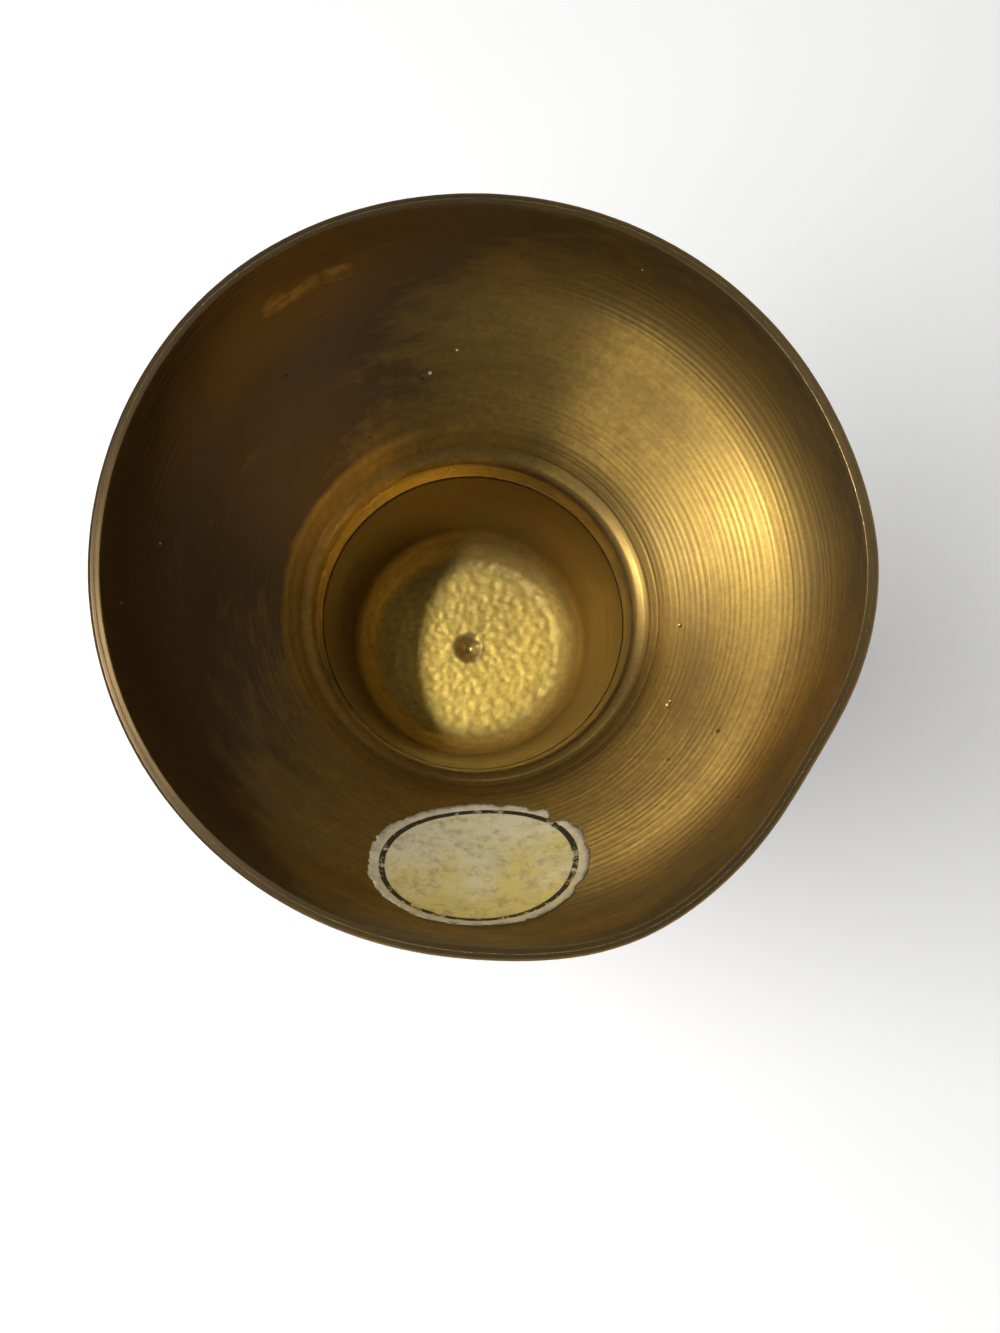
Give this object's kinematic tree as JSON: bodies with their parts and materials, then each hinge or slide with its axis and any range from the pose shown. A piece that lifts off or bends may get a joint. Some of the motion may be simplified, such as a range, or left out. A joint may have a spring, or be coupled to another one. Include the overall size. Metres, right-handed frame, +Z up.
{
  "type": "vase",
  "caption": "Brass vase on a hollow bell foot, with a soldered baluster body, beaded collars and a flared trumpet mouth; stands on its foot ring and holds flowers.",
  "frame": {"origin": "middle of the ring that the foot stands on", "axes": "+Z up along the vase's axis, towards the mouth; -Y towards the side of the foot that carries the label"},
  "size_m": [0.0854, 0.0852, 0.1752],
  "materials": {
    "foot_brass": "turned and tarnished, unpolished inside",
    "body_brass": "turned and polished, lightly tarnished",
    "collar_brass": "turned and polished",
    "solder": "dull solder",
    "label_paper": "aged paper with a satin print coat"
  },
  "bodies": {
    "root": {"foot": "foot_brass", "foot_solder_ring": "solder", "stem_collar": "collar_brass", "lower_bowl": "body_brass", "seam_solder_ring": "solder", "upper_bowl": "body_brass", "neck_collar": "collar_brass", "neck_solder_ring": "solder", "trumpet_neck": "body_brass", "label": "label_paper"}
  },
  "joints": []
}
